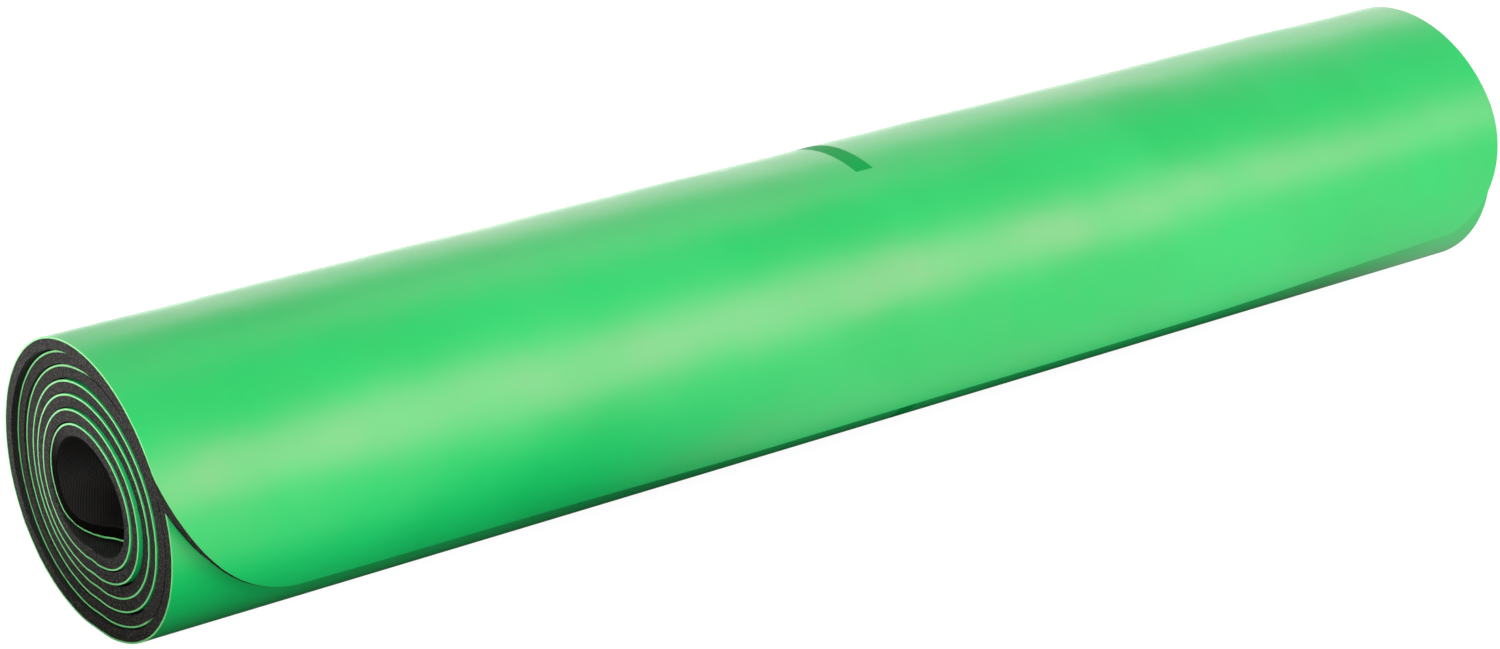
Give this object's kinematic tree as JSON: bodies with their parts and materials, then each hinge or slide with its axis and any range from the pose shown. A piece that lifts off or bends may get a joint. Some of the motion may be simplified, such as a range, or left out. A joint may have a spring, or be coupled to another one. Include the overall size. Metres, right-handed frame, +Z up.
{
  "type": "rolled exercise and camping mat",
  "caption": "Two-layer mat rolled into a log: a satin skin bonded to a foamed rubber base, with rounded corners and a free end that peels open.",
  "frame": {"origin": "bottom centre of the rolled mat's bounding box, on the plane it rests on", "axes": "+X along the roll, towards the end where the inner turns stand out; +Z up; -Y is the front, where the free edge closes on the roll"},
  "size_m": [0.6842, 0.127, 0.1122],
  "materials": {
    "green_skin": "satin polyurethane film",
    "rubber_base": "matt foamed natural rubber"
  },
  "bodies": {
    "inner_roll": {"inner_roll_base": "rubber_base", "inner_roll_skin": "green_skin"},
    "bend_strip_1": {"bend_strip_1_base": "rubber_base", "bend_strip_1_skin": "green_skin"},
    "bend_strip_2": {"bend_strip_2_base": "rubber_base", "bend_strip_2_skin": "green_skin"},
    "bend_strip_3": {"bend_strip_3_base": "rubber_base", "bend_strip_3_skin": "green_skin"},
    "bend_strip_4": {"bend_strip_4_base": "rubber_base", "bend_strip_4_skin": "green_skin"},
    "bend_strip_5": {"bend_strip_5_base": "rubber_base", "bend_strip_5_skin": "green_skin"},
    "bend_strip_6": {"bend_strip_6_base": "rubber_base", "bend_strip_6_skin": "green_skin"},
    "free_end": {"free_end_base": "rubber_base", "free_end_skin": "green_skin"}
  },
  "joints": [
    {"name": "bend_1", "type": "hinge", "parent": "inner_roll", "child": "bend_strip_1", "pos_m": [0, 0.06245, 0.06721], "axis": [-1, 0, 0], "range_deg": [0, 12]},
    {"name": "bend_2", "type": "hinge", "parent": "bend_strip_1", "child": "bend_strip_2", "pos_m": [0, 0.05995, 0.07555], "axis": [-1, 0, 0], "range_deg": [0, 12]},
    {"name": "bend_3", "type": "hinge", "parent": "bend_strip_2", "child": "bend_strip_3", "pos_m": [0, 0.05614, 0.08335], "axis": [-1, 0, 0], "range_deg": [0, 12]},
    {"name": "bend_4", "type": "hinge", "parent": "bend_strip_3", "child": "bend_strip_4", "pos_m": [0, 0.05117, 0.09041], "axis": [-1, 0, 0], "range_deg": [0, 12]},
    {"name": "bend_5", "type": "hinge", "parent": "bend_strip_4", "child": "bend_strip_5", "pos_m": [0, 0.04522, 0.09658], "axis": [-1, 0, 0], "range_deg": [0, 12]},
    {"name": "bend_6", "type": "hinge", "parent": "bend_strip_5", "child": "bend_strip_6", "pos_m": [0, 0.03849, 0.10174], "axis": [-1, 0, 0], "range_deg": [0, 12]},
    {"name": "bend_7", "type": "hinge", "parent": "bend_strip_6", "child": "free_end", "pos_m": [0, 0.03117, 0.10586], "axis": [-1, 0, 0], "range_deg": [0, 12]}
  ],
  "couplings": [
    {"joint": "bend_2", "follows": "bend_1", "ratio": 1},
    {"joint": "bend_3", "follows": "bend_1", "ratio": 1},
    {"joint": "bend_4", "follows": "bend_1", "ratio": 1},
    {"joint": "bend_5", "follows": "bend_1", "ratio": 1},
    {"joint": "bend_6", "follows": "bend_1", "ratio": 1},
    {"joint": "bend_7", "follows": "bend_1", "ratio": 1}
  ]
}
